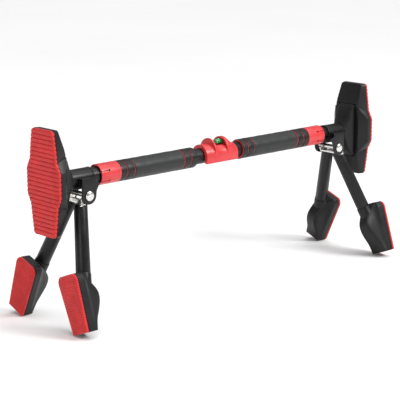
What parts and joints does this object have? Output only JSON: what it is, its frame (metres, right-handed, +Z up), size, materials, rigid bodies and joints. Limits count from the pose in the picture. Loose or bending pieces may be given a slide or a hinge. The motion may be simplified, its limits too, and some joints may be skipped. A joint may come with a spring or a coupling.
{
  "type": "pull up bar",
  "caption": "Doorway pull up bar: screw-out tube with foam grips and red locking collars, wall pads at the ends and folding legs with padded feet.",
  "frame": {"origin": "on the floor under the middle of the bar, centre of the bounding box's bottom", "axes": "X along the bar, -Y to the front, +Z up"},
  "size_m": [0.8402, 0.2382, 0.3645],
  "materials": {
    "powder_black": "fine powder coat, satin",
    "red_plastic": "moulded, semi-gloss",
    "vial_green": "clear green, polished",
    "dark_rubber": "smooth, satin",
    "foam": "closed-cell foam, matte",
    "dark_plastic": "moulded, fine grain",
    "red_rubber": "moulded, ribbed",
    "bright_metal": "bright plated"
  },
  "bodies": {
    "bar_core": {"core_tube": "powder_black", "lock_saddle": "red_plastic", "level_vial": "vial_green"},
    "left_grip": {"left_grip_tube": "powder_black", "left_inner_trim_sleeve": "red_plastic", "left_outer_trim_sleeve": "red_plastic", "left_inner_end_band": "dark_rubber", "left_inner_middle_band": "dark_rubber", "left_foam_grip": "foam", "left_outer_middle_band": "dark_rubber", "left_outer_end_band": "dark_rubber", "left_locking_collar": "red_plastic", "left_collar_nut": "red_plastic"},
    "left_end": {"left_screw_tube": "powder_black", "left_end_sleeve": "powder_black", "left_hub_cone": "dark_plastic", "left_wall_shell": "dark_plastic", "left_wall_pad": "red_rubber", "left_leg_bracket": "powder_black", "left_pivot_bolt": "bright_metal", "left_pivot_nut": "bright_metal"},
    "left_legs": {"left_leg_yoke": "bright_metal", "left_front_leg": "powder_black", "left_front_foot": "dark_plastic", "left_front_foot_pad": "red_rubber", "left_rear_leg": "powder_black", "left_rear_foot": "dark_plastic", "left_rear_foot_pad": "red_rubber"},
    "right_grip": {"right_grip_tube": "powder_black", "right_inner_trim_sleeve": "red_plastic", "right_outer_trim_sleeve": "red_plastic", "right_inner_end_band": "dark_rubber", "right_inner_middle_band": "dark_rubber", "right_foam_grip": "foam", "right_outer_middle_band": "dark_rubber", "right_outer_end_band": "dark_rubber", "right_locking_collar": "red_plastic", "right_collar_nut": "red_plastic"},
    "right_end": {"right_screw_tube": "powder_black", "right_end_sleeve": "powder_black", "right_hub_cone": "dark_plastic", "right_wall_shell": "dark_plastic", "right_wall_pad": "red_rubber", "right_leg_bracket": "powder_black", "right_pivot_bolt": "bright_metal", "right_pivot_nut": "bright_metal"},
    "right_legs": {"right_leg_yoke": "bright_metal", "right_front_leg": "powder_black", "right_front_foot": "dark_plastic", "right_front_foot_pad": "red_rubber", "right_rear_leg": "powder_black", "right_rear_foot": "dark_plastic", "right_rear_foot_pad": "red_rubber"}
  },
  "joints": [
    {"name": "left_grip_turn", "type": "hinge", "parent": "bar_core", "child": "left_grip", "pos_m": [0, 0, 0.26472], "axis": [-1, 0, 0], "range_deg": [-725, 4325]},
    {"name": "left_end_slide", "type": "slide", "parent": "bar_core", "child": "left_end", "axis": [-1, 0, 0], "range_m": [-0.012, 0.072]},
    {"name": "left_leg_fold", "type": "hinge", "parent": "left_end", "child": "left_legs", "pos_m": [-0.3365, 0, 0.23512], "axis": [0, -1, 0], "range_deg": [0, 100]},
    {"name": "right_grip_turn", "type": "hinge", "parent": "bar_core", "child": "right_grip", "pos_m": [0, 0, 0.26472], "axis": [1, 0, 0], "range_deg": [-725, 4325]},
    {"name": "right_end_slide", "type": "slide", "parent": "bar_core", "child": "right_end", "axis": [1, 0, 0], "range_m": [-0.012, 0.072]},
    {"name": "right_leg_fold", "type": "hinge", "parent": "right_end", "child": "right_legs", "pos_m": [0.3365, 0, 0.23512], "axis": [0, 1, 0], "range_deg": [0, 100]}
  ],
  "couplings": [
    {"joint": "left_grip_turn", "follows": "left_end_slide", "rad_per_m": 1047.2},
    {"joint": "right_grip_turn", "follows": "right_end_slide", "rad_per_m": 1047.2}
  ]
}
